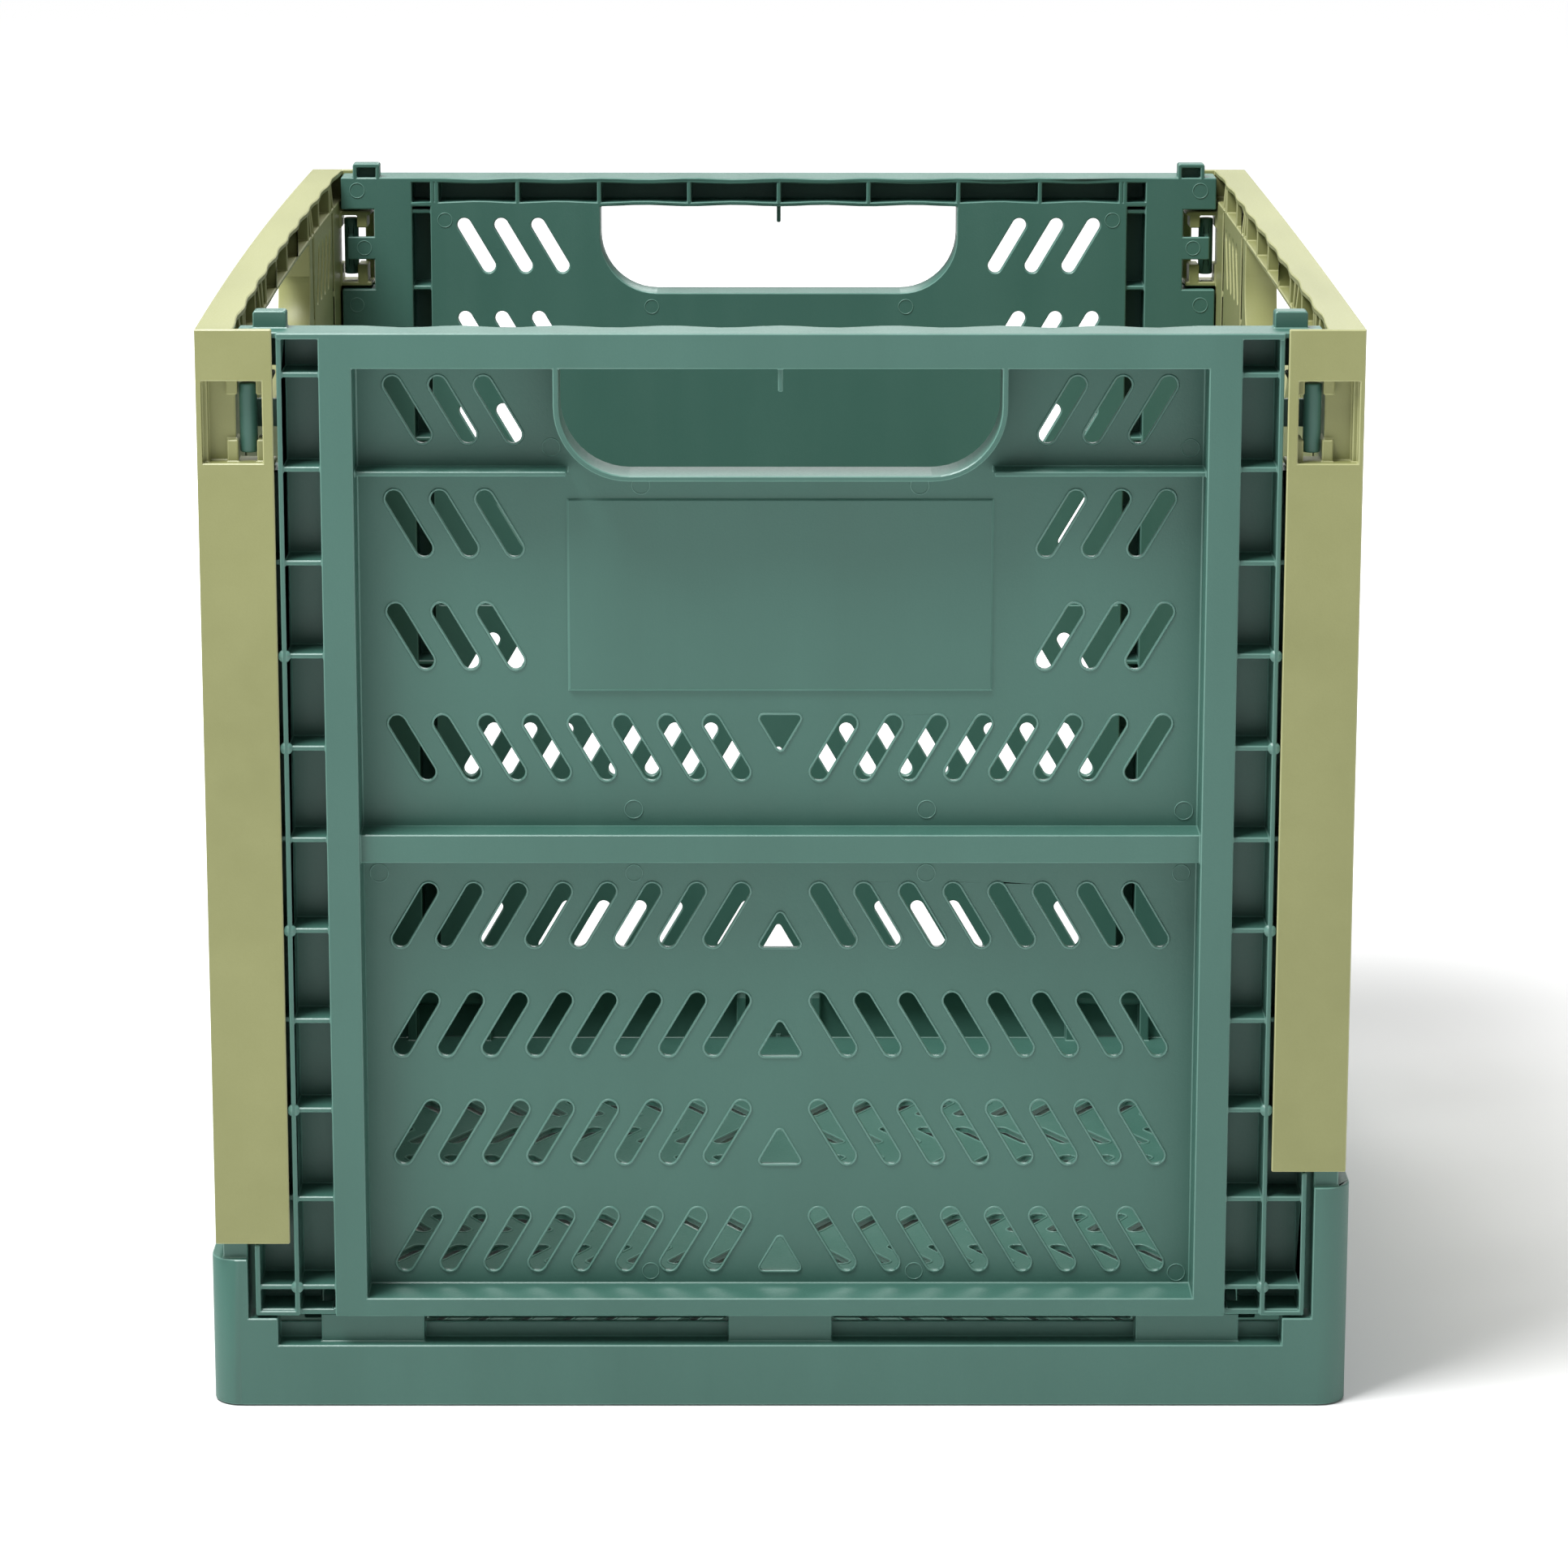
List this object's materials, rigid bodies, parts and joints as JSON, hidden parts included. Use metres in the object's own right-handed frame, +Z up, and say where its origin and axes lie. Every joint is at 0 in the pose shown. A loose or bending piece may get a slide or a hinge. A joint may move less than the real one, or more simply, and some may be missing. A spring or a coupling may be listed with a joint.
{
  "type": "collapsible storage crate",
  "caption": "Collapsible open-top storage crate: a low base tray carries hinged, slotted walls with handle openings; the end walls unlatch and fold flat inwards.",
  "frame": {"origin": "on the ground under the middle of the crate", "axes": "+X across the crate to the side with the taller base rim, +Y from the front end wall to the back end wall, +Z up"},
  "size_m": [0.354, 0.425, 0.342],
  "materials": {
    "teal_plastic": "satin moulded polypropylene, muted teal green",
    "olive_plastic": "satin moulded polypropylene, pale olive"
  },
  "bodies": {
    "base": {"base_tray": "teal_plastic", "side_wall_left": "olive_plastic", "side_wall_right": "olive_plastic"},
    "front_end": {"end_wall_front": "teal_plastic"},
    "back_end": {"end_wall_back": "teal_plastic"}
  },
  "joints": [
    {"name": "front_end_fold", "type": "hinge", "parent": "base", "child": "front_end", "pos_m": [0, -0.1965, 0.03], "axis": [-1, 0, 0], "range_deg": [0, 90]},
    {"name": "back_end_fold", "type": "hinge", "parent": "base", "child": "back_end", "pos_m": [0, 0.203, 0.018], "axis": [1, 0, 0], "range_deg": [0, 90]}
  ]
}
